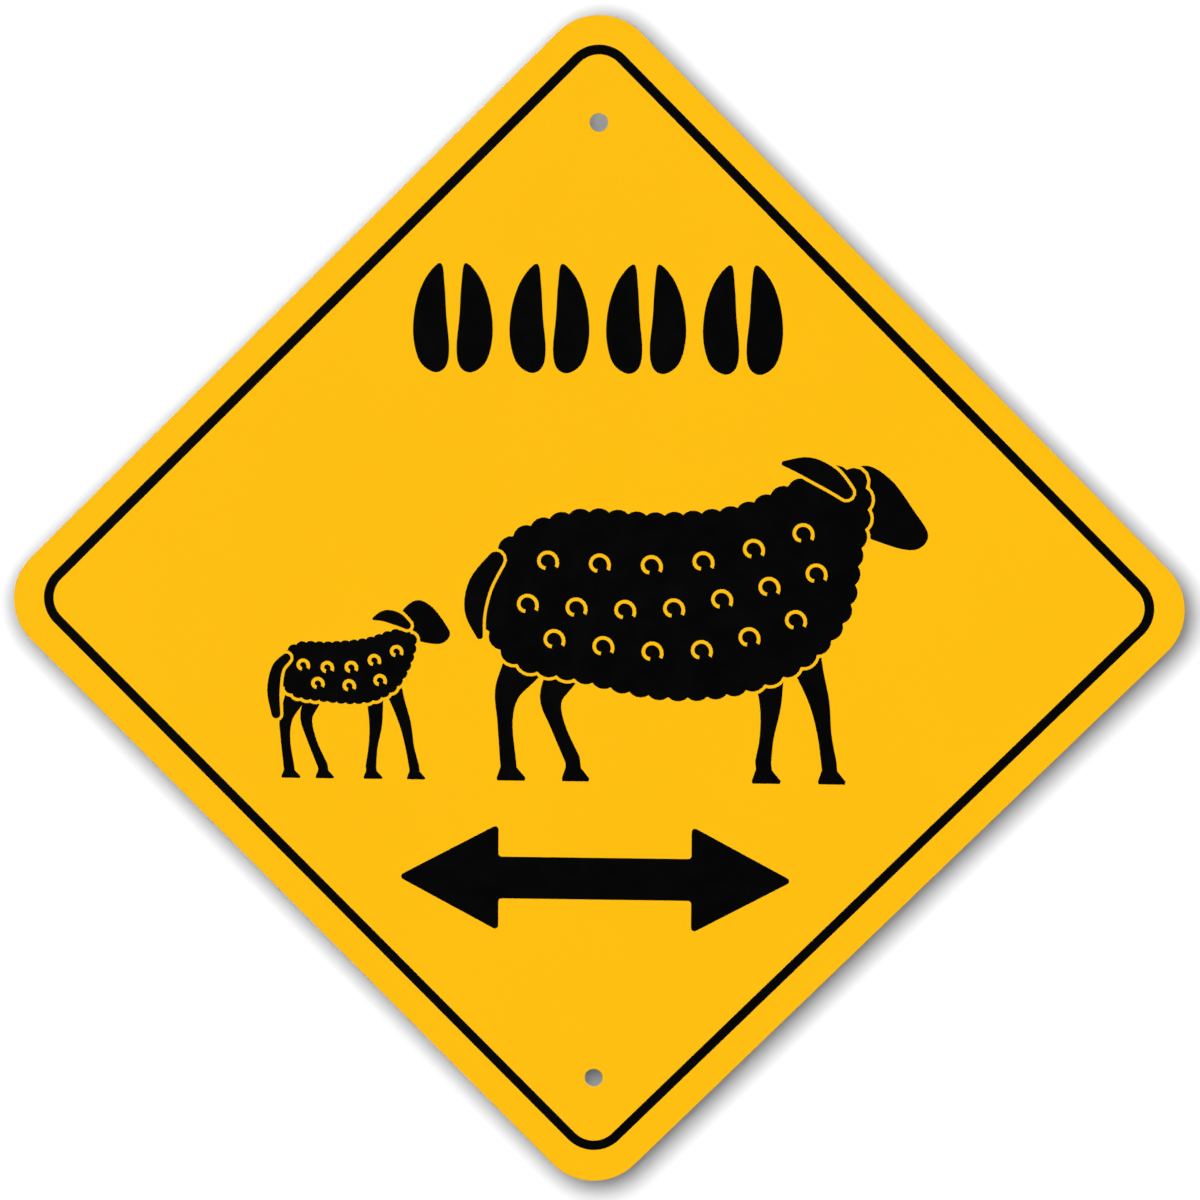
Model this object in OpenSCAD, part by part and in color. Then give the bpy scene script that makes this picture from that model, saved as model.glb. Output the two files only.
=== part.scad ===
// Sheep crossing sign: a square aluminium sheet standing on one corner, enamelled yellow
// and screen printed in black with a border line, a row of hoof prints, a ewe with her
// lamb, and a double-headed arrow. Millimetres.
// The back of the sheet lies in the XZ plane, the printed face looks along -Y and +Z is up.
// The origin is on the back, midway between the two fixing holes.

/* [Blank] */
// Side of the square sheet, from straight edge to straight edge
side = 304.8; // [290:0.1:420]
// Thickness of the sheet
sheet_t = 1.02; // [0.5:0.01:3]
// Radius of the four rounded corners
corner_r = 20.6; // [12:0.1:40]
// Width of the small bevel that the punching die leaves on the front edges
edge_bevel = 0.15; // [0.05:0.01:0.3]

/* [Fixing holes] */
// Diameter of the upper and the lower hole
hole_d = 6.4; // [4:0.1:10]
// Distance from the rounded tip of the sheet to the centre of its hole
tip_to_hole = 37.4; // [34:0.1:46]

/* [Ink] */
// Thickness of the printed black ink
ink_t = 0.08; // [0.02:0.01:0.3]
// Width of the unprinted line that parts ears, faces, tails and legs from the fleece
keyline = 1.1; // [0.6:0.1:1.8]

/* [Border line] */
// Distance from the edge of the sheet to the line
border_inset = 9.9; // [4:0.1:11]
// Width of the line
border_w = 3.4; // [1:0.1:5]
// Radius of the line's outer edge at the corners
border_r = 12.8; // [8:0.1:24]
// Height of the line's middle above the middle of the sheet, where the screen was set
border_rise = 0.5; // [0:0.1:1]

/* [Hoof prints] */
// Number of prints in the row
print_count = 4; // [2:1:4]
// Height of one cloven print
print_h = 38.4; // [20:0.1:42]
// Width of one cloven print across both toes
print_w = 28; // [20:0.1:30]
// Gap between the two toes of a print
toe_gap = 2.6; // [1:0.1:5]
// Distance from one print to the next
print_pitch = 34; // [31:0.1:36]
// Height of the row's middle above the middle of the sign
print_z = 101; // [99:0.1:104]

/* [Ewe and lamb] */
// Depth of the ground that both animals stand on, below the middle of the sign
ground_depth = 63; // [58:0.1:68]
// Height of the ewe from the ground to the top of her ears
ewe_h = 116; // [90:0.5:126]
// Height of the lamb from the ground to the top of its head
lamb_h = 64; // [50:0.5:72]
// Clear distance from the lamb's nose to the ewe's tail
lamb_gap = 5; // [3:0.1:12]
// Width of the unprinted curls in the fleece
curl_w = 1.3; // [0.8:0.1:1.8]

/* [Crossing arrow] */
// Length of the arrow from tip to tip
arrow_l = 140.6; // [90:0.1:144]
// Height of the arrow heads
arrow_h = 38.4; // [20:0.1:42]
// Length of each head
head_l = 36; // [20:0.1:42]
// Height of the shaft
shaft_h = 15; // [6:0.1:18]
// Rounding of the arrow's corners
arrow_r = 1.2; // [0.4:0.1:2.5]
// Depth of the arrow's middle below the middle of the sign
arrow_depth = 97.8; // [95:0.1:102]

/* [Hidden] */
$fn = 96;
yellow = [0.996, 0.753, 0.075];
black = [0.02, 0.02, 0.02];
// Length by which a cutter runs past the face that it cuts
past = 0.5;
// Distance of each rounded corner's centre from the two middle lines of the square
arc_at = side / 2 - corner_r;
// Height of the rounded upper tip above the middle of the sign
tip_z = arc_at * sqrt(2) + corner_r;
hole_z = tip_z - tip_to_hole;

// Both animals face right and are drawn on a grid about 100 units tall, hooves at height 0.
// A fleece is the closed line that its tufts sit on, counter-clockwise from the nape.
// A limb is a run of points [x, height, half width], from the body outwards.
ewe_fleece = [
    [44, 91.5], [31, 86.5], [15, 79.5], [-9, 77], [-33, 77.8], [-52, 70], [-58.5, 54],
    [-51, 38.5], [-32, 33.8], [-8, 28.8], [14, 30.2], [33, 38], [44.5, 51], [48, 68],
    [50.5, 83], [49, 91]
];
ewe_face = [
    [44, 90], [52, 95.6], [60, 91.6], [67, 82.4], [71.4, 75], [67.4, 70.6], [57.6, 72.6],
    [46, 78.4]
];
ewe_ear = [[47, 87.5, 2], [42, 91.8, 3.2], [35.5, 95, 3], [28.5, 96, 0.8]];
ewe_tail = [[-57.2, 66.5, 2.4], [-62, 59, 3.3], [-63.6, 51, 2.9], [-62, 43.5, 1]];
ewe_legs = [
    [[-46, 46, 9], [-48.5, 36, 6.4], [-53.5, 27, 3.9], [-54.3, 18, 2.3], [-53.4, 6.5, 2.4]],
    [[-35, 42, 8], [-37, 33, 5.2], [-40.5, 25, 3.4], [-38.6, 17, 2.2], [-34, 6.5, 2.3]],
    [[24, 42, 6.5], [24.6, 32, 4.4], [25, 23, 3.1], [24, 14, 2.1], [23, 6.5, 2.4]],
    [[33, 44, 6.5], [36.5, 34, 4.2], [39.6, 24.5, 3], [41.2, 15, 2.1], [42.6, 6.5, 2.3]]
];
// Rows that the curls stand in
ewe_rows = [
    [[-42, 66], [0, 65.5], [34, 75]], [[-48, 53], [-5, 52], [38, 63]],
    [[-40, 42.5], [0, 39], [32, 49]]
];
lamb_fleece = [
    [25, 79], [9, 74], [-11, 71.8], [-29, 71], [-37, 60], [-31, 48.6], [-14, 45.4],
    [6, 44.6], [21, 50], [29.5, 62], [33, 77]
];
lamb_face = [
    [27, 82], [28.6, 92.4], [36.4, 98.4], [44.6, 94.8], [52, 85.4], [54.4, 79.4],
    [49, 74.6], [36, 76.4]
];
lamb_ear = [[31, 84.5, 2.2], [25.5, 88, 3.6], [19, 89.5, 3.2], [13, 88, 0.9]];
lamb_tail = [[-35, 66, 2.4], [-40, 60, 3], [-42, 48, 3.4], [-40.6, 35, 2.4]];
lamb_legs = [
    [[-28, 56, 8], [-30, 45, 5.8], [-35, 33.5, 3.7], [-35.4, 21, 2.6], [-33.6, 7, 2.9]],
    [[-20, 54, 7], [-21, 43, 4.8], [-24, 33, 3.3], [-20.6, 20, 2.4], [-15, 7, 2.8]],
    [[13, 56, 6.5], [13.6, 43, 4.5], [14, 30, 3.5], [12.6, 18, 2.5], [11.4, 7, 2.9]],
    [[21, 58, 6], [25.6, 44, 4], [30, 31, 3.2], [32.6, 18, 2.4], [35, 7, 2.8]]
];
lamb_rows = [[[-26, 62], [0, 61], [25, 70]], [[-18, 52], [0, 51], [16, 54]]];
// Radius of a fleece's tufts and their distance along its line
ewe_tuft = [4.1, 5.6];
lamb_tuft = [3.5, 4.8];
// Radius of a curl and the distance from one to the next
ewe_curl = [3.3, 15];
lamb_curl = [3.3, 14];
// Steps from one point of a smooth curve to the next, round a tuft and round an end or corner
curve_steps = 5;
tuft_steps = 5;
end_steps = 6;
// Start and turn of a curl, the share of its radius that it loses, and its steps
curl_start = -30;
curl_turn = 290;
curl_pull = 0.4;
curl_steps = 14;

// Scale from the grid to the sign, and the reach of each animal to its left and right
ewe_scale = ewe_h / highest(limb_edge(ewe_ear), 1);
lamb_scale = lamb_h / highest(ring(lamb_face), 1);
ewe_left = ewe_scale * lowest(limb_edge(ewe_tail), 0);
ewe_right = ewe_scale * highest(ring(ewe_face), 0);
lamb_left = lamb_scale * lowest(limb_edge(lamb_tail), 0);
lamb_right = lamb_scale * highest(ring(lamb_face), 0);
// The pair is centred on the sign
pair_w = ewe_right - ewe_left + lamb_gap + lamb_right - lamb_left;
ewe_x = pair_w / 2 - ewe_right;
lamb_x = -pair_w / 2 - lamb_left;

function lowest(points, axis) = min([for (p = points) p[axis]]);
function highest(points, axis) = max([for (p = points) p[axis]]);
function flat(p) = [p[0], p[1]];
function unit(v) = v / norm(v);
// Vector v turned a quarter clockwise
function right_of(v) = [v[1], -v[0]];
function angle_of(v) = atan2(v[1], v[0]);
function at(r, angle) = r * [cos(angle), sin(angle)];

// Point at share t of the way from b to c, on a smooth curve through a, b, c and d
function between(a, b, c, d, t) = b + t / 2 * (c - a + t * (2 * a - 5 * b + 4 * c - d
    + t * (3 * (b - c) + d - a)));

// Hoof below the fetlock, from its front down over the toe to the heel, as shares of the
// fetlock's half width forwards and of its height above the ground
function hoof(fetlock) = [for (share = [
    [1.1, 0.62], [2.2, 0.14], [2.1, 0], [-1.3, 0], [-1.4, 0.12], [-0.9, 0.66]
]) [fetlock[0] + share[0] * fetlock[2], share[1] * fetlock[1]]];

// Smooth open curve through the points p
function curve(p) = let (last = len(p) - 1) [
    for (i = [0:last - 1], k = [0:curve_steps - 1])
        between(p[max(i - 1, 0)], p[i], p[i + 1], p[min(i + 2, last)], k / curve_steps),
    p[last]
];

// Smooth closed curve through the points p
function ring(p) = let (m = len(p)) [
    for (i = [0:m - 1], k = [0:curve_steps - 1])
        between(p[(i + m - 1) % m], p[i], p[(i + 1) % m], p[(i + 2) % m], k / curve_steps)
];

// Points about one pitch apart along the line p, evenly spaced from its start to its end
function evenly(p, pitch) =
    let (last = len(p) - 1)
    let (run = [
        for (i = 0, s = 0; i <= last; s = s + norm(p[min(i + 1, last)] - p[i]), i = i + 1) s
    ])
    let (n = max(1, round(run[last] / pitch)))
    [for (k = [0:n]) [for (axis = [0, 1])
        lookup(run[last] * k / n, [for (i = [0:last]) [run[i], p[i][axis]]])]];

// Where two circles of radius r about a and b cross, on the right of the way from a to b
function crossing(a, b, r) =
    (a + b) / 2 + right_of(unit(b - a)) * sqrt(r * r - pow(norm(b - a) / 2, 2));

// Outline of a fleece: an arc of radius r about the centre of every tuft
function tufted(line, r, pitch) =
    let (closed = ring(line))
    let (c = evenly(concat(closed, [closed[0]]), pitch), m = len(c) - 1)
    [for (i = [0:m - 1])
        let (from = angle_of(crossing(c[(i + m - 1) % m], c[i], r) - c[i]))
        let (to = angle_of(crossing(c[i], c[i + 1], r) - c[i]))
        let (turn = (to - from + 720) % 360)
        for (k = [0:tuft_steps - 1]) c[i] + at(r, from + turn * k / tuft_steps)];

// Outline of a limb, made wider by more on each side: round at the body, and at the far end
// either round or with the hoof of a leg
function limb_edge(points, more = 0, hoofed = false) =
    let (c = curve(points), last = len(c) - 1)
    let (way = [for (i = [0:last]) unit(flat(c[min(i + 1, last)]) - flat(c[max(i - 1, 0)]))])
    concat(
        [for (i = [0:last]) flat(c[i]) - right_of(way[i]) * (c[i][2] + more)],
        hoofed ? hoof(c[last]) : end_arc(c[last], way[last], more),
        [for (i = [last:-1:0]) flat(c[i]) + right_of(way[i]) * (c[i][2] + more)],
        end_arc(c[0], -way[0], more));

// Half circle round the end e of a limb that points along way
function end_arc(e, way, more) = [
    for (k = [1:end_steps - 1])
        flat(e) + at(e[2] + more, angle_of(way) + 90 - 180 * k / end_steps)
];

// Outline p with an arc of radius r at each corner
function rounded(p, r) = let (m = len(p)) [
    for (i = [0:m - 1])
        let (back = unit(p[(i + m - 1) % m] - p[i]), on = unit(p[(i + 1) % m] - p[i]))
        let (half = acos(back * on) / 2, centre = p[i] + unit(back + on) * r / sin(half))
        let (from = angle_of(p[i] + back * r / tan(half) - centre))
        let (to = angle_of(p[i] + on * r / tan(half) - centre))
        let (turn = (to - from + 540) % 360 - 180)
        for (k = [0:end_steps]) centre + at(r, from + turn * k / end_steps)
];

module panel() color(yellow) rotate([90, 0, 0]) difference() {
    rotate(45) blank();
    for (y = [-hole_z, hole_z]) translate([0, y, 0]) hole();
}

// The sheet with its back at height 0, its sides along X and Y
module blank() {
    inner = 2 * arc_at;
    translate([-arc_at, -arc_at, 0]) cube([inner, inner, sheet_t]);
    for (quarter = [0:90:270]) rotate(quarter) translate([arc_at, arc_at, 0]) {
        rotate_extrude(angle = 90) rim_section();
        rotate([90, 0, 0]) linear_extrude(inner) rim_section();
    }
}

// Section through the rim, from the corner's centre out to the edge
module rim_section() polygon([
    [0, 0], [corner_r, 0], [corner_r, sheet_t - edge_bevel], [corner_r - edge_bevel, sheet_t],
    [0, sheet_t]
]);

module hole() {
    translate([0, 0, -past]) cylinder(d = hole_d, h = sheet_t + 2 * past);
    translate([0, 0, sheet_t - edge_bevel])
        cylinder(d1 = hole_d, d2 = hole_d + 2 * (edge_bevel + past), h = edge_bevel + past);
}

// Ink on the front of the sheet, from a drawing in which Y is up
module printed() color(black) translate([0, -sheet_t, 0]) rotate([90, 0, 0])
    linear_extrude(ink_t) children();

module border_line() printed() translate([0, border_rise]) rotate(45) difference() {
    rounded_square(side - 2 * border_inset, border_r);
    rounded_square(side - 2 * (border_inset + border_w), border_r - border_w);
}

module rounded_square(w, r) {
    square([w, w - 2 * r], center = true);
    square([w - 2 * r, w], center = true);
    for (x = [-1, 1], y = [-1, 1]) translate([x, y] * (w / 2 - r)) circle(r);
}

module hoof_prints() printed() for (i = [0:print_count - 1])
    translate([(i - (print_count - 1) / 2) * print_pitch, print_z]) {
        toe();
        mirror([1, 0]) toe();
    }

// Right-hand toe of a print, pointed at the top and round at the heel, from the toe gap to
// the outside of the print
module toe() {
    inside = toe_gap / 2;
    outside = print_w / 2;
    polygon(ring([for (share = [
        [0.24, 0.5], [0.13, 0.3], [0.08, 0.02], [0, -0.28], [0.1, -0.45], [0.42, -0.5],
        [0.82, -0.4], [1, -0.16], [0.93, 0.12], [0.66, 0.36]
    ]) [inside + share[0] * (outside - inside), share[1] * print_h]]));
}

// A fleece with its ear and tail laid over it, and the face and legs that come out from
// under it, parted from each other by the keyline
module animal(grid, fleece, tuft, face, ear, tail, legs, rows, curl) {
    gap = keyline / grid;
    scale(grid) {
        difference() {
            union() {
                polygon(ring(face));
                for (leg = legs) polygon(limb_edge(leg, hoofed = true));
            }
            polygon(tufted(fleece, tuft[0] + gap, tuft[1]));
            laid_over(ear, tail, gap);
        }
        difference() {
            polygon(tufted(fleece, tuft[0], tuft[1]));
            laid_over(ear, tail, gap);
            for (row = rows, c = evenly(curve(row), curl[1]))
                translate(c) wool_curl(curl[0], curl_w / grid);
        }
        laid_over(ear, tail, 0);
    }
}

module laid_over(ear, tail, more) for (limb = [ear, tail]) polygon(limb_edge(limb, more));

// Open spiral of wool, w wide and of radius r where it starts
module wool_curl(r, w) polygon(concat(
    [for (k = [0:curl_steps]) curl_point(r, w / 2, k)],
    [for (k = [curl_steps:-1:0]) curl_point(r, -w / 2, k)]));

function curl_point(r, off, k) = let (share = k / curl_steps)
    at(r * (1 - curl_pull * share) + off, curl_start + curl_turn * share);

module crossing_arrow() {
    neck = arrow_l / 2 - head_l;
    // Upper edge from the right-hand tip to the left-hand one, which turned about is the lower
    upper = [
        [arrow_l / 2, 0], [neck, arrow_h / 2], [neck, shaft_h / 2], [-neck, shaft_h / 2],
        [-neck, arrow_h / 2], [-arrow_l / 2, 0]
    ];
    printed() translate([0, -arrow_depth])
        polygon(rounded(concat(upper, [for (i = [1:4]) -upper[i]]), arrow_r));
}

module ewe() printed() translate([ewe_x, -ground_depth]) animal(
    grid = ewe_scale, fleece = ewe_fleece, tuft = ewe_tuft, face = ewe_face, ear = ewe_ear,
    tail = ewe_tail, legs = ewe_legs, rows = ewe_rows, curl = ewe_curl);

module lamb() printed() translate([lamb_x, -ground_depth]) animal(
    grid = lamb_scale, fleece = lamb_fleece, tuft = lamb_tuft, face = lamb_face,
    ear = lamb_ear, tail = lamb_tail, legs = lamb_legs, rows = lamb_rows, curl = lamb_curl);

panel();
border_line();
hoof_prints();
ewe();
lamb();
crossing_arrow();
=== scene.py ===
"""Looks of the sheep crossing sign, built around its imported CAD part.

Metres, in the CAD frame: the back of the sheet lies at y = 0, the printed face looks
along -Y and +Z is up. The sign stands on one corner, so its sides run at 45 degrees.
"""
from math import cos, pi, radians, sin, sqrt

import bmesh
import bpy
from mathutils import Matrix, Vector
from mathutils.geometry import tessellate_polygon


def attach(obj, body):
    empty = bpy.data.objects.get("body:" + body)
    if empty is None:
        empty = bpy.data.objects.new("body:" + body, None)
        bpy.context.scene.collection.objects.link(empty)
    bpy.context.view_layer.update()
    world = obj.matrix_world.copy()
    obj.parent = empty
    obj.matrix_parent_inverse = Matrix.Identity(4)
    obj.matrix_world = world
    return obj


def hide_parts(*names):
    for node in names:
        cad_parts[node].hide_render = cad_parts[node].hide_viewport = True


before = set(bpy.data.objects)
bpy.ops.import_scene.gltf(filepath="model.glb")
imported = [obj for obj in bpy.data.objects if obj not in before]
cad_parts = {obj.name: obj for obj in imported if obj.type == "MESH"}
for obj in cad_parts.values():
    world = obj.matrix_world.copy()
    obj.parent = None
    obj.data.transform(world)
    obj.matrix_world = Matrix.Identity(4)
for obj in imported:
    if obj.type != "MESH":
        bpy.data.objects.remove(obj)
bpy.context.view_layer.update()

MM = 0.001

# The blank, as in the CAD source
SIDE = 304.8 * MM
SHEET_T = 1.02 * MM
CORNER_R = 20.6 * MM
HOLE_R = 3.2 * MM
TIP_TO_HOLE = 37.4 * MM
ARC_AT = SIDE / 2 - CORNER_R
HOLE_Z = ARC_AT * sqrt(2) + CORNER_R - TIP_TO_HOLE

# The printed border line, as in the CAD source
INK_T = 0.08 * MM
BORDER_INSET = 9.9 * MM
BORDER_W = 3.4 * MM
BORDER_R = 12.8 * MM
BORDER_RISE = 0.5 * MM

# Edges that are finer here: the face's rolled rim, the back's rim and the ink's shoulder
EDGE_ROLL = 0.15 * MM
BACK_BREAK = 0.05 * MM
INK_SHOULDER = 0.03 * MM

# Fineness of the curves
CORNER_STEPS = 32
HOLE_STEPS = 72
ROLL_STEPS = 4

# Colours, in linear light. A surface with two of them drifts from one to the other.
WHITE = (1.0, 1.0, 1.0, 1.0)
ENAMEL_COLOURS = ((0.985, 0.513, 0.0052, 1.0), (1.0, 0.523, 0.0058, 1.0))
SPECK_COLOUR = (0.86, 0.43, 0.006, 1.0)
INK_COLOURS = ((0.0003, 0.0003, 0.0004, 1.0), (0.0010, 0.0010, 0.0011, 1.0))
CUT_COLOURS = ((0.80, 0.80, 0.81, 1.0), (0.60, 0.60, 0.61, 1.0))
MILL_COLOURS = ((0.76, 0.765, 0.775, 1.0), (0.90, 0.905, 0.91, 1.0))
BLOOM_COLOUR = (0.64, 0.64, 0.645, 1.0)
SCUFF_COLOUR = (0.9, 0.9, 0.9, 1.0)
FLOOR_COLOURS = ((0.88, 0.88, 0.88, 1.0), (0.91, 0.91, 0.91, 1.0))

# The directions of the patterns, as turns about Y
WIPE_TURN = radians(28.0)
WEAVE_TURNS = (radians(22.5), radians(112.5))
GRAIN_TURN = radians(45.0)
SCUFF_TURNS = (radians(12.0), radians(71.0), radians(133.0))

# The cut edge is torn up to one share of the thickness, counted from the back, and
# burnished from another
TORN_TO = 0.5
BURNISHED_FROM = 0.62

# The camera, fitted to the photograph: the sign as seen from its front, all but square on.
# The lens and the sensor are in millimetres and the turns in radians.
LENS = 160.53
SENSOR = 36.0
DISTANCE = 1.8901
AIM_X = -0.00128
AIM_Z = -0.00159
YAW = -0.04991
PITCH = 0.10712
ROLL = 0.00551
CLIP_START = 0.01
CLIP_END = 20.0

# The stage
WALL_GAP = 26.0 * MM
WALL_GLOW = 0.04
WALL_HALF = 0.6
FLOOR_Z = -0.25
FLOOR_GLOW = 0.5
FLOOR_HALF = 4.0

# The suns; a level is the brightness that a lamp gives a white surface which faces it
KEY_TILT = radians(20.0)
KEY_SPREAD = radians(24.0)
KEY_LEVEL = 1.1
TOP_TOWARDS = (0.15, 0.6, -1.0)
TOP_SPREAD = radians(50.0)
TOP_LEVEL = 0.62

# The lamps that light the backdrop alone, as (radius, level), and where they hang
WALL_LAMPS = ((0.209, 0.806), (0.495, 0.491))
WALL_LAMPS_AT = (-0.0206, -0.9803, 0.1769)

# Strip lights that show only as gloss, as (place, width, height, their own brightness)
GLOSS_STRIPS = (
    ((-1.5, -0.75, 0.2), 0.6, 1.8, 1.5),
    ((1.5, -0.75, 0.1), 0.5, 1.8, 1.1),
)

# The studio around the sign: dark in front and bright behind, with a fade between two
# values of the direction's y, and soft bands of brightness, as (rate, lowest)
SKY_FRONT = 0.012
SKY_REAR = 1.3
SKY_FADE = (-0.3, 0.35)
BANDS_ACROSS = (7.0, 0.5)
BANDS_UP = (6.0, 0.62)


def add_object(name, data):
    """An object of the data, in the scene."""
    item = bpy.data.objects.new(name, data)
    bpy.context.scene.collection.objects.link(item)
    return item


# Meshes


def rounded_diamond(half, radius):
    """Points of a rounded square that stands on a corner, as (x, z), counter-clockwise."""
    points = []
    middle = half - radius
    for corner in range(4):
        for step in range(CORNER_STEPS + 1):
            turn = pi / 2 * (corner + step / CORNER_STEPS)
            x = middle * (1, -1, -1, 1)[corner] + radius * cos(turn)
            z = middle * (1, 1, -1, -1)[corner] + radius * sin(turn)
            points.append(((x - z) / sqrt(2), (x + z) / sqrt(2)))
    return points


def circle(centre_z, radius):
    """Points of a circle about (0, centre_z), as (x, z), counter-clockwise."""
    turns = [2 * pi * step / HOLE_STEPS for step in range(HOLE_STEPS)]
    return [(radius * cos(turn), centre_z + radius * sin(turn)) for turn in turns]


def add_loop(bm, points, y):
    """A closed row of vertices at depth y."""
    return [bm.verts.new((x, y, z)) for x, z in points]


def add_wall(bm, loops, material=0, smooth=True):
    """Faces from each loop to the next."""
    for first, second in zip(loops, loops[1:]):
        count = len(first)
        for i in range(count):
            j = (i + 1) % count
            face = bm.faces.new((first[i], first[j], second[j], second[i]))
            face.smooth = smooth
            face.material_index = material


def add_plate(bm, loops, material):
    """A flat face with the first loop as its outline and the others as holes in it."""
    outlines = [[vert.co for vert in loop] for loop in loops]
    verts = [vert for loop in loops for vert in loop]
    for corners in tessellate_polygon(outlines):
        face = bm.faces.new([verts[i] for i in corners])
        face.material_index = material


def finished(bm, name, materials):
    """An object of the mesh, with its faces turned outwards."""
    bmesh.ops.recalc_face_normals(bm, faces=bm.faces)
    mesh = bpy.data.meshes.new(name)
    bm.to_mesh(mesh)
    bm.free()
    for material in materials:
        mesh.materials.append(material)
    return add_object(name, mesh)


def rim_profile():
    """The sheet's edge from its back to its face, as (distance in from the edge, y)."""
    profile = [(BACK_BREAK, 0.0), (0.0, -BACK_BREAK)]
    for step in range(ROLL_STEPS + 1):
        turn = pi / 2 * step / ROLL_STEPS
        inset = EDGE_ROLL * (1 - cos(turn))
        profile.append((inset, -(SHEET_T - EDGE_ROLL + EDGE_ROLL * sin(turn))))
    return profile


def rim_points(hole_z, inset):
    """The outline of the hole at hole_z, or of the sheet, moved into the metal."""
    if hole_z is None:
        return rounded_diamond(SIDE / 2 - inset, CORNER_R - inset)
    return circle(hole_z, HOLE_R + inset)


def make_panel(materials):
    """The punched sheet. Its materials are the enamel, the cut edge and the bare back."""
    enamel_at, edge_at, back_at = range(3)
    bm = bmesh.new()
    rims = []
    for hole_z in (None, HOLE_Z, -HOLE_Z):
        loops = [add_loop(bm, rim_points(hole_z, inset), y) for inset, y in rim_profile()]
        add_wall(bm, loops[:3], edge_at)
        add_wall(bm, loops[2:], enamel_at)
        rims.append(loops)
    add_plate(bm, [loops[0] for loops in rims], back_at)
    add_plate(bm, [loops[-1] for loops in rims], enamel_at)
    return finished(bm, "panel_sheet", materials)


def make_border(material):
    """The border line, a thin ring of ink with chamfered shoulders."""
    bm = bmesh.new()
    middle = SIDE / 2 - BORDER_R - BORDER_INSET
    profile = [(0.0, 0.0), (0.0, INK_T - INK_SHOULDER), (INK_SHOULDER, INK_T)]
    sides = []
    for radius, way in ((BORDER_R, -1), (BORDER_R - BORDER_W, 1)):
        loops = []
        for inset, height in profile:
            points = rounded_diamond(middle + radius + way * inset, radius + way * inset)
            points = [(x, z + BORDER_RISE) for x, z in points]
            loops.append(add_loop(bm, points, -SHEET_T - height))
        add_wall(bm, loops, smooth=False)
        sides.append(loops)
    for end in (0, -1):
        add_wall(bm, [sides[0][end], sides[1][end]], smooth=False)
    return finished(bm, "border_ring", [material])


# Materials


class Nodes:
    """The nodes of a material, world or lamp, with short ways to add and join them."""

    def __init__(self, owner):
        owner.use_nodes = True
        self.tree = owner.node_tree
        self.tree.nodes.clear()

    def add(self, kind, inputs=(), **settings):
        """A node with its settings; an input is a value, or the output that feeds it."""
        node = self.tree.nodes.new(kind)
        for name, value in settings.items():
            setattr(node, name, value)
        for key, value in dict(inputs).items():
            socket = node.inputs[key]
            if isinstance(value, bpy.types.NodeSocket):
                self.tree.links.new(value, socket)
            else:
                socket.default_value = value
        return node

    def place(self, scale=(1.0, 1.0, 1.0), turn=0.0):
        """Object coordinates, turned about Y and then scaled."""
        coordinates = self.add("ShaderNodeTexCoord").outputs["Object"]
        turned = self.add(
            "ShaderNodeMapping", {"Vector": coordinates, "Rotation": (0.0, turn, 0.0)}
        ).outputs["Vector"]
        return self.add(
            "ShaderNodeMapping", {"Vector": turned, "Scale": scale}
        ).outputs["Vector"]

    def noise(self, vector, scale, detail=2.0, roughness=0.5):
        """Noise about 0.5; scale is the number of lumps in a unit of the coordinates."""
        inputs = {"Vector": vector, "Scale": scale, "Detail": detail, "Roughness": roughness}
        return self.add("ShaderNodeTexNoise", inputs).outputs["Fac"]

    def spread(self, value, low, high, out_low=0.0, out_high=1.0):
        """The value's range low to high, stretched to out_low to out_high and held there."""
        inputs = {
            "Value": value, "From Min": low, "From Max": high,
            "To Min": out_low, "To Max": out_high,
        }
        return self.add("ShaderNodeMapRange", inputs).outputs["Result"]

    def math(self, operation, first, second=0.0):
        """One sum on two values, or on the first alone."""
        inputs = {0: first, 1: second}
        return self.add("ShaderNodeMath", inputs, operation=operation).outputs["Value"]

    def times(self, first, second):
        """The product of two values."""
        return self.math("MULTIPLY", first, second)

    def with_share(self, value, share, other):
        """The value, and a share of another added to it."""
        return self.math("ADD", value, self.times(other, share))

    def mean(self, first, second):
        """The value midway between two."""
        return self.times(self.math("ADD", first, second), 0.5)

    def mix(self, share, first, second):
        """The first colour, with a share of the second in its place."""
        inputs = {"Factor": share, 6: first, 7: second}
        return self.add("ShaderNodeMix", inputs, data_type="RGBA").outputs[2]

    def bump(self, height, distance, normal=None):
        """A normal from a height between 0 and 1, which stands for a distance in metres."""
        inputs = {"Height": height, "Distance": distance, "Strength": 1.0}
        if normal is not None:
            inputs["Normal"] = normal
        return self.add("ShaderNodeBump", inputs).outputs["Normal"]

    def surface(self, inputs):
        """The material's shader and its output."""
        shader = self.add("ShaderNodeBsdfPrincipled", inputs)
        self.add("ShaderNodeOutputMaterial", {"Surface": shader.outputs[0]})


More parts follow.
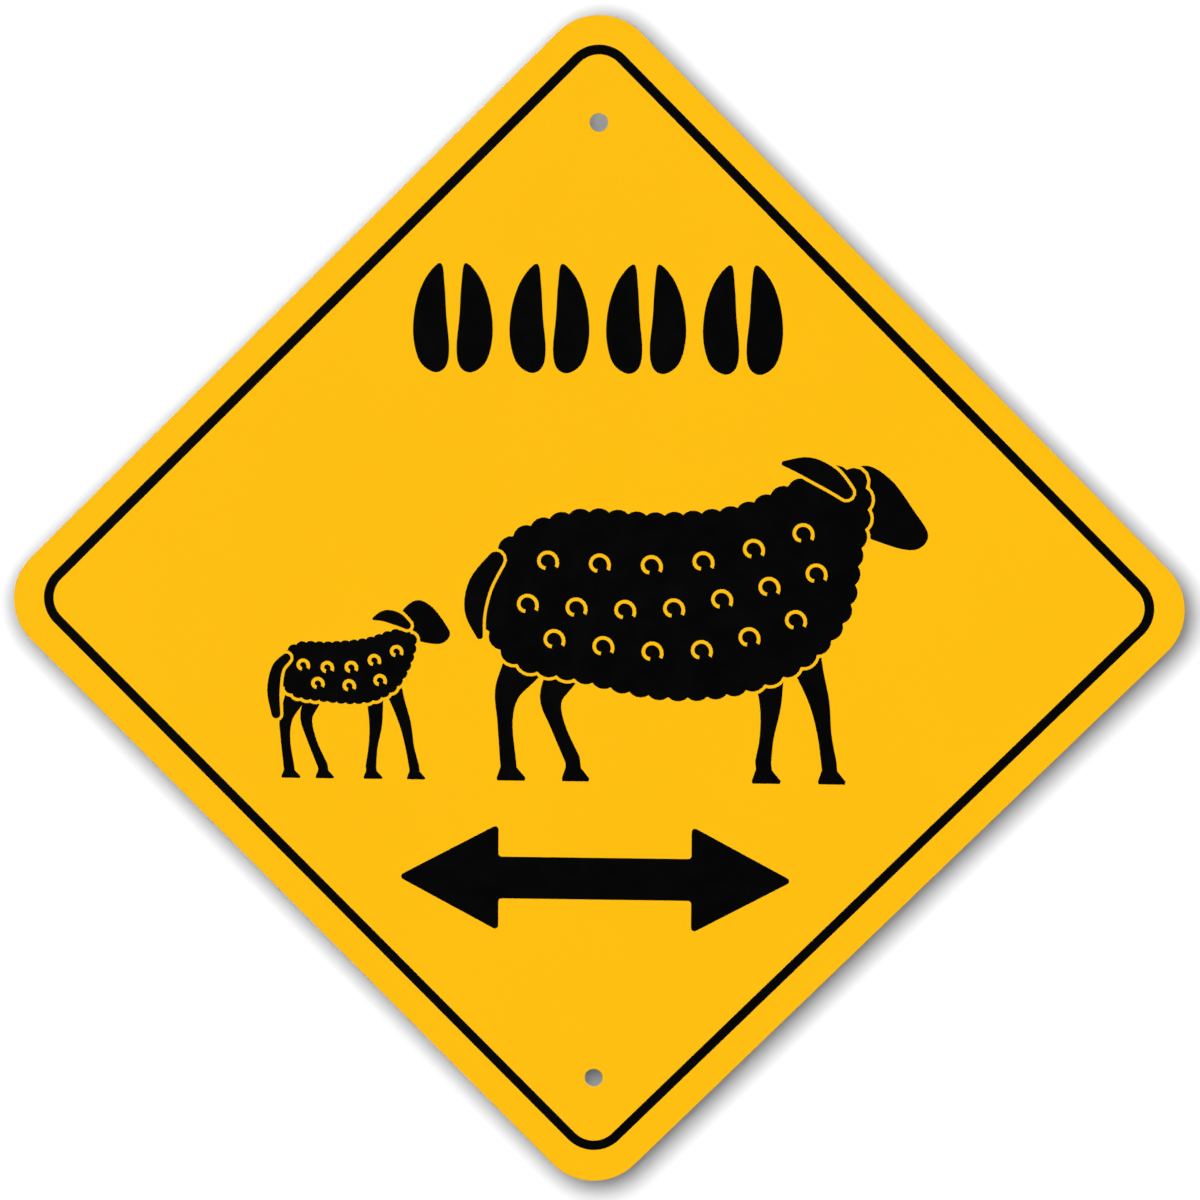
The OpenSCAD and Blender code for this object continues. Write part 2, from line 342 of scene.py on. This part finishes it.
def enamel():
    """Baked yellow enamel: smooth and satin, with a faint orange peel and small specks."""
    material = bpy.data.materials.new("yellow_enamel_coat")
    nodes = Nodes(material)
    here = nodes.place()
    cloud = nodes.spread(nodes.noise(here, scale=14.0, detail=3.0), 0.35, 0.65)
    grain = nodes.spread(nodes.noise(here, scale=2600.0), 0.3, 0.7)
    colour = nodes.mix(nodes.mean(cloud, grain), *ENAMEL_COLOURS)

    cells = nodes.add("ShaderNodeTexVoronoi", {"Vector": here, "Scale": 95.0})
    near = nodes.spread(cells.outputs["Distance"], 0.018, 0.03, 1.0, 0.0)
    picked = nodes.add("ShaderNodeSeparateColor", {"Color": cells.outputs["Color"]})
    speck = nodes.times(near, nodes.math("GREATER_THAN", picked.outputs[0], 0.8))
    colour = nodes.mix(nodes.times(speck, 0.35), colour, SPECK_COLOUR)

    wiped = nodes.place(scale=(6.0, 6.0, 60.0), turn=WIPE_TURN)
    smear = nodes.noise(wiped, scale=3.0, detail=5.0, roughness=0.6)
    rough = nodes.spread(smear, 0.3, 0.7, 0.27, 0.37)
    rough = nodes.with_share(rough, 0.03, grain)
    peel = nodes.noise(here, scale=620.0, detail=1.5, roughness=0.4)
    normal = nodes.bump(peel, 0.006 * MM)
    normal = nodes.bump(speck, 0.02 * MM, normal)
    nodes.surface({"Base Color": colour, "Roughness": rough, "Normal": normal})
    return material


def ink():
    """Screen-printed black ink: satin, with the faint weave that the screen leaves."""
    material = bpy.data.materials.new("black_screen_ink")
    nodes = Nodes(material)
    here = nodes.place()
    cloud = nodes.spread(nodes.noise(here, scale=60.0, detail=4.0), 0.3, 0.7)
    colour = nodes.mix(cloud, *INK_COLOURS)

    threads = []
    for turn in WEAVE_TURNS:
        way = nodes.place(turn=turn)
        inputs = {"Vector": way, "Scale": 900.0, "Distortion": 0.4, "Detail": 1.0}
        threads.append(nodes.add("ShaderNodeTexWave", inputs).outputs["Fac"])
    weave = nodes.times(*threads)

    fine = nodes.noise(here, scale=3200.0)
    patches = nodes.noise(here, scale=110.0, detail=4.0, roughness=0.6)
    rough = nodes.spread(patches, 0.3, 0.7, 0.38, 0.5)
    rough = nodes.with_share(rough, 0.05, fine)
    normal = nodes.bump(weave, 0.003 * MM)
    normal = nodes.bump(fine, 0.002 * MM, normal)
    nodes.surface({"Base Color": colour, "Roughness": rough, "Normal": normal})
    return material


def cut_edge():
    """The edge that the die leaves: burnished next to the face, torn and dull behind."""
    material = bpy.data.materials.new("punched_edge")
    nodes = Nodes(material)
    here = nodes.place()
    depth = nodes.add("ShaderNodeSeparateXYZ", {"Vector": here}).outputs["Y"]
    torn = nodes.spread(depth, -BURNISHED_FROM * SHEET_T, -TORN_TO * SHEET_T)
    colour = nodes.mix(torn, *CUT_COLOURS)

    stroke = nodes.place(scale=(1.0, 0.05, 1.0))
    drag = nodes.noise(stroke, scale=5200.0, detail=3.0, roughness=0.65)
    rag = nodes.noise(here, scale=6500.0, detail=4.0, roughness=0.7)
    rough = nodes.spread(torn, 0.0, 1.0, 0.26, 0.48)
    rough = nodes.with_share(rough, 0.12, drag)
    normal = nodes.bump(drag, 0.01 * MM)
    normal = nodes.bump(nodes.times(rag, torn), 0.03 * MM, normal)
    nodes.surface(
        {"Base Color": colour, "Metallic": 1.0, "Roughness": rough, "Normal": normal}
    )
    return material


def scratches(nodes):
    """Thin straight scuffs in three directions, each in patches, as a value from 0 to 1."""
    scuffs = None
    for turn in SCUFF_TURNS:
        lines = nodes.noise(nodes.place(scale=(11.0, 1.0, 700.0), turn=turn), 1.0, detail=0.0)
        patches = nodes.noise(nodes.place(scale=(24.0, 1.0, 24.0), turn=turn), 1.0, detail=1.0)
        marks = nodes.times(nodes.spread(lines, 0.70, 0.74), nodes.spread(patches, 0.55, 0.62))
        scuffs = marks if scuffs is None else nodes.math("MAXIMUM", scuffs, marks)
    return scuffs


def mill_back():
    """Bare mill-finish aluminium: the grain of the rolling runs along one pair of sides."""
    material = bpy.data.materials.new("mill_aluminium_back")
    nodes = Nodes(material)
    coarse_place = nodes.place(scale=(1.6, 1.0, 900.0), turn=GRAIN_TURN)
    coarse = nodes.noise(coarse_place, 1.0, detail=3.0, roughness=0.55)
    fine_place = nodes.place(scale=(9.0, 1.0, 4200.0), turn=GRAIN_TURN)
    fine = nodes.noise(fine_place, 1.0, roughness=0.6)
    bands = nodes.noise(nodes.place(scale=(0.3, 1.0, 24.0), turn=GRAIN_TURN), 1.0)
    grain = nodes.mean(coarse, fine)
    tone = nodes.with_share(nodes.times(grain, 0.75), 0.25, bands)
    bloom = nodes.noise(nodes.place(), scale=11.0, detail=5.0, roughness=0.62)
    bloom = nodes.spread(bloom, 0.42, 0.66)
    scuffs = scratches(nodes)
    colour = nodes.mix(nodes.spread(tone, 0.38, 0.62), *MILL_COLOURS)
    colour = nodes.mix(nodes.times(bloom, 0.08), colour, BLOOM_COLOUR)
    colour = nodes.mix(nodes.times(scuffs, 0.3), colour, SCUFF_COLOUR)

    rough = nodes.spread(grain, 0.35, 0.65, 0.20, 0.30)
    rough = nodes.with_share(rough, 0.05, bloom)
    rough = nodes.with_share(rough, 0.10, scuffs)
    normal = None
    for relief, height in ((coarse, 0.022), (fine, 0.006), (bands, 0.08), (scuffs, 0.010)):
        normal = nodes.bump(relief, height * MM, normal)
    across = nodes.add(
        "ShaderNodeVectorTransform", {"Vector": (-sin(GRAIN_TURN), 0.0, cos(GRAIN_TURN))},
        vector_type="VECTOR", convert_from="OBJECT", convert_to="WORLD",
    ).outputs["Vector"]
    nodes.surface(
        {
            "Base Color": colour, "Metallic": 1.0, "Roughness": rough, "Normal": normal,
            "Anisotropic": 0.7, "Tangent": across,
        }
    )
    return material


def stage_surface(nodes, colour, glow, **settings):
    """A dull surface with a glow of its own, which shows only from in front."""
    dull = nodes.add("ShaderNodeBsdfDiffuse", {"Color": colour, **settings})
    shine = nodes.add("ShaderNodeEmission", {"Color": colour, "Strength": glow})
    front = nodes.add("ShaderNodeAddShader", {0: dull.outputs[0], 1: shine.outputs[0]})
    clear = nodes.add("ShaderNodeBsdfTransparent")
    behind = nodes.add("ShaderNodeNewGeometry").outputs["Backfacing"]
    shown = nodes.add(
        "ShaderNodeMixShader", {0: behind, 1: front.outputs[0], 2: clear.outputs[0]}
    )
    nodes.add("ShaderNodeOutputMaterial", {"Surface": shown.outputs[0]})


def wall_material():
    """Plain white backdrop."""
    material = bpy.data.materials.new("backdrop_white")
    stage_surface(Nodes(material), WHITE, WALL_GLOW)
    return material


def floor_material():
    """Plain pale floor, chalky, with a slight tooth."""
    material = bpy.data.materials.new("floor_pale")
    nodes = Nodes(material)
    here = nodes.place()
    cloud = nodes.spread(nodes.noise(here, scale=5.0, detail=4.0), 0.3, 0.7)
    colour = nodes.mix(cloud, *FLOOR_COLOURS)
    normal = nodes.bump(nodes.noise(here, scale=700.0), 0.05 * MM)
    stage_surface(nodes, colour, FLOOR_GLOW, Normal=normal)
    return material


# Stage, light and camera


def make_plane(name, corners, material, unseen_by):
    """A flat stage piece, which some kinds of ray pass by.

    Its corners run counter-clockwise as seen from in front of it.
    """
    mesh = bpy.data.meshes.new(name)
    mesh.from_pydata(corners, [], [(0, 1, 2, 3)])
    mesh.materials.append(material)
    plane = add_object(name, mesh)
    for ray in unseen_by:
        setattr(plane, "visible_" + ray, False)
    return plane


def make_stage():
    """A white backdrop just behind the sign, which takes its soft shadow, and a floor."""
    side, y = WALL_HALF, WALL_GAP
    corners = [(-side, y, FLOOR_Z), (side, y, FLOOR_Z), (side, y, side), (-side, y, side)]
    unseen_by = ("diffuse", "glossy", "transmission", "volume_scatter", "shadow")
    wall = make_plane("backdrop", corners, wall_material(), unseen_by)
    side, z = FLOOR_HALF, FLOOR_Z
    corners = [(-side, -side, z), (side, -side, z), (side, side, z), (-side, side, z)]
    unseen_by = ("diffuse", "glossy", "shadow")
    floor = make_plane("floor", corners, floor_material(), unseen_by)
    return wall, floor


def soft_bands(nodes, along, rate, low):
    """Bands of brightness between low and 1, along one of the directions."""
    wave = nodes.math("SINE", nodes.times(along, rate))
    return nodes.spread(wave, -0.9, 0.9, low, 1.0)


def make_sky():
    """A little even light, and the studio that gloss and bare metal show.

    That studio is dark in front of the sign, so that the print stays black, and pale
    behind it. The camera sees the world as plain white.
    """
    world = bpy.data.worlds.new("studio")
    bpy.context.scene.world = world
    nodes = Nodes(world)
    way = nodes.add("ShaderNodeTexCoord").outputs["Generated"]
    way = nodes.add("ShaderNodeSeparateXYZ", {"Vector": way}).outputs
    rear = nodes.spread(way["Y"], *SKY_FADE, SKY_FRONT, SKY_REAR)
    across = soft_bands(nodes, way["X"], *BANDS_ACROSS)
    height = soft_bands(nodes, way["Z"], *BANDS_UP)
    studio = nodes.times(rear, nodes.times(across, height))
    path = nodes.add("ShaderNodeLightPath").outputs
    direct = nodes.math("LESS_THAN", path["Diffuse Depth"], 0.5)
    shiny = nodes.times(path["Is Glossy Ray"], direct)
    level = nodes.add("ShaderNodeMix", {"Factor": shiny, 2: SKY_FRONT, 3: studio})
    level = nodes.math("MAXIMUM", level.outputs[0], path["Is Camera Ray"])
    lit = nodes.add("ShaderNodeBackground", {"Color": WHITE, "Strength": level})
    nodes.add("ShaderNodeOutputWorld", {"Surface": lit.outputs[0]})


def lit_by(lamp, pieces, linked):
    """Lets a lamp light only these pieces of the stage, or everything but them."""
    group = bpy.data.collections.new(lamp.name + "_lights")
    for piece in pieces:
        group.objects.link(piece)
    for member in group.collection_objects:
        member.light_linking.link_state = linked
    lamp.light_linking.receiver_collection = group


def add_lamp(name, kind, towards, place=(0.0, 0.0, 0.0)):
    """A lamp of a kind at a place, which shines in a direction."""
    lamp = add_object(name, bpy.data.lights.new(name, kind))
    lamp.location = place
    lamp.rotation_mode = "QUATERNION"
    lamp.rotation_quaternion = Vector(towards).to_track_quat("-Z", "Y")
    lamp.visible_camera = False
    return lamp


def make_suns(wall, floor):
    """The wide soft key from the upper left in front, and a top light for the floor.

    A sun of strength pi stands for a level of 1.
    """
    tilt = sin(KEY_TILT) / sqrt(2)
    key = add_lamp("key", "SUN", (tilt, cos(KEY_TILT), -tilt))
    key.data.energy = KEY_LEVEL * pi
    key.data.angle = KEY_SPREAD
    key.visible_glossy = False
    lit_by(key, [wall, floor], "EXCLUDE")
    top = add_lamp("top", "SUN", TOP_TOWARDS)
    top.data.energy = TOP_LEVEL * pi
    top.data.angle = TOP_SPREAD
    lit_by(top, [floor], "INCLUDE")


def make_wall_lamps(wall):
    """Two round lamps in front, whose shadows on the backdrop add up to a soft one.

    Their falloff is constant, and 4 pi^2 watts then stand for a level of 1.
    """
    for radius, level in WALL_LAMPS:
        lamp = add_lamp("wall_lamp", "POINT", (0.0, 1.0, 0.0), WALL_LAMPS_AT)
        lamp.data.energy = 4 * pi * pi * level
        lamp.data.shadow_soft_size = radius
        lamp.data.use_soft_falloff = True
        nodes = Nodes(lamp.data)
        steady = nodes.add("ShaderNodeLightFalloff", {"Strength": 1.0}).outputs["Constant"]
        glow = nodes.add("ShaderNodeEmission", {"Strength": steady})
        nodes.add("ShaderNodeOutputLight", {"Surface": glow.outputs[0]})
        lit_by(lamp, [wall], "INCLUDE")


def make_gloss_strips():
    """Tall strip lights to both sides, which only the gloss of a surface shows.

    A strip's brightness is its watts over pi times its area.
    """
    for place, width, height, level in GLOSS_STRIPS:
        strip = add_lamp("gloss_strip", "AREA", -Vector(place), place)
        strip.data.shape = "RECTANGLE"
        strip.data.size = width
        strip.data.size_y = height
        strip.data.energy = level * pi * width * height
        strip.visible_diffuse = False


def make_camera():
    """The photograph's camera."""
    data = bpy.data.cameras.new("camera")
    data.lens = LENS
    data.sensor_width = SENSOR
    data.sensor_fit = "AUTO"
    data.clip_start = CLIP_START
    data.clip_end = CLIP_END
    camera = add_object("camera", data)
    turned = (
        Matrix.Rotation(ROLL, 4, "Y")
        @ Matrix.Rotation(PITCH, 4, "X")
        @ Matrix.Rotation(YAW, 4, "Z")
    )
    placed = Matrix.Translation((AIM_X, DISTANCE, AIM_Z)) @ turned
    camera.matrix_world = placed.inverted() @ Matrix.Rotation(radians(90.0), 4, "X")
    bpy.context.scene.camera = camera


def dress():
    """The object's own pieces and materials."""
    black = ink()
    panel = make_panel([enamel(), cut_edge(), mill_back()])
    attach(panel, "root")
    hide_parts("panel")
    border = make_border(black)
    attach(border, "root")
    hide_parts("border_line")
    for name in ("hoof_prints", "ewe", "lamb", "crossing_arrow"):
        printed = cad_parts[name].data.materials
        for i in range(len(printed)):
            printed[i] = black


dress()
backdrop, ground = make_stage()
make_sky()
make_suns(backdrop, ground)
make_wall_lamps(backdrop)
make_gloss_strips()
make_camera()
bpy.context.scene.view_settings.view_transform = "Standard"
